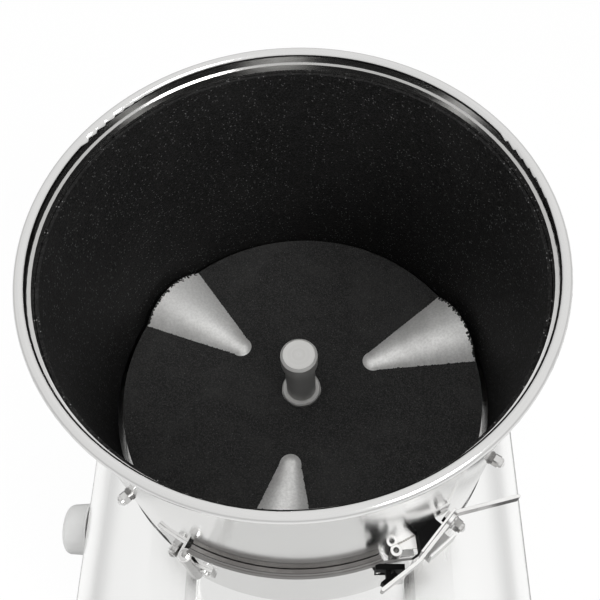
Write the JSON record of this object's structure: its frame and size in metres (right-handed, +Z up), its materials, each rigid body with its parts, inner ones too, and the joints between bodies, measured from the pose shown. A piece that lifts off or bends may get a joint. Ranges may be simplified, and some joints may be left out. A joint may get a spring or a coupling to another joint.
{
  "type": "electric potato peeler",
  "caption": "Floor-standing professional potato peeler: grit-lined drum on a stainless casing, spinning disc with cones, latched discharge door over a chute, timer knob, rear drain pipe.",
  "frame": {"origin": "centre of the floor-bolt pattern, on the drum's axis at floor level", "axes": "+Z up along the drum's axis, -Y towards the door and chute at the front, -X towards the side with the control knob"},
  "size_m": [0.5046, 0.571, 0.7945],
  "materials": {
    "stainless_sheet": "fine brushed stainless sheet",
    "drum_steel": "rolled stainless, half bright",
    "plain_steel": "plain rolled steel",
    "chassis_paint": "grey painted angle",
    "foot_steel": "zinc plated",
    "hardware": "polished stainless fasteners",
    "latch_steel": "satin stainless strip",
    "turned_steel": "turned stainless",
    "abrasive_grit": "black silicon carbide grit in resin",
    "cast_aluminium": "satin cast aluminium",
    "cast_iron": "machined grey iron",
    "motor_paint": "grey blue enamel on cast aluminium",
    "rubber": "black rubber",
    "grey_plastic": "light grey satin moulding",
    "black_plastic": "black nylon moulding",
    "waste_plastic": "grey PVC drain pipe"
  },
  "bodies": {
    "machine": {"casing_shell": "stainless_sheet", "front_panel": "stainless_sheet", "rear_panel": "stainless_sheet", "panel_screws": "hardware", "discharge_chute": "stainless_sheet", "chassis_frame": "chassis_paint", "floor_feet": "foot_steel", "foot_pads": "rubber", "deck_plate": "plain_steel", "drum_shell": "drum_steel", "drum_floor": "drum_steel", "drum_lining": "abrasive_grit", "lining_studs": "hardware", "lining_washers": "hardware", "lining_acorn_nuts": "hardware", "bearing_housing": "cast_iron", "deck_bolts": "hardware", "shaft_bearings": "turned_steel", "shaft_seal": "rubber", "drive_belt": "rubber", "motor_plate": "plain_steel", "motor_bolts": "hardware", "motor_body": "motor_paint", "motor_end_shield": "cast_aluminium", "motor_fan_cover": "motor_paint", "terminal_box": "black_plastic", "run_capacitor": "black_plastic", "waste_pipe": "waste_plastic", "cable_gland": "black_plastic", "knob_bezel": "grey_plastic", "rotary_switch": "black_plastic", "door_post": "drum_steel", "hinge_drum_leaf": "latch_steel", "hinge_pin": "hardware", "hinge_nut": "hardware", "latch_bracket": "latch_steel", "latch_spacer": "black_plastic", "latch_bolt": "hardware", "latch_nut": "hardware"},
    "peeling_disc": {"drive_shaft": "turned_steel", "driven_pulley": "cast_iron", "pulley_nut": "hardware", "disc_casting": "cast_aluminium", "disc_grit": "abrasive_grit", "waste_paddles": "plain_steel", "knob_flange": "turned_steel", "lifting_knob": "turned_steel"},
    "motor_rotor": {"motor_shaft": "turned_steel", "motor_pulley": "cast_iron", "cooling_fan": "black_plastic"},
    "discharge_door": {"door_panel": "drum_steel", "door_gasket": "rubber", "door_plug": "drum_steel", "door_lining": "abrasive_grit", "door_screws": "hardware", "hinge_door_leaf": "latch_steel", "latch_striker": "black_plastic"},
    "door_latch": {"latch_lever": "latch_steel"},
    "timer_knob": {"knob_spindle": "turned_steel", "control_knob": "grey_plastic"}
  },
  "joints": [
    {"name": "disc_spin", "type": "hinge", "parent": "machine", "child": "peeling_disc", "pos_m": [0, 0, 0.52], "axis": [0, 0, 1], "continuous": true},
    {"name": "motor_spin", "type": "hinge", "parent": "machine", "child": "motor_rotor", "pos_m": [0.06, 0.124, 0.334], "axis": [0, 0, 1], "continuous": true},
    {"name": "door_swing", "type": "hinge", "parent": "machine", "child": "discharge_door", "pos_m": [-0.09403, -0.18777, 0.614], "axis": [0, 0, -1], "range_deg": [0, 110]},
    {"name": "latch_turn", "type": "hinge", "parent": "machine", "child": "door_latch", "pos_m": [0.131, -0.16031, 0.614], "axis": [-0.766, 0.6428, 0], "range_deg": [-7, 55]},
    {"name": "timer_turn", "type": "hinge", "parent": "machine", "child": "timer_knob", "pos_m": [-0.236, -0.116, 0.395], "axis": [1, 0, 0], "range_deg": [0, 300]}
  ],
  "couplings": [
    {"joint": "motor_spin", "follows": "disc_spin", "ratio": 3}
  ]
}
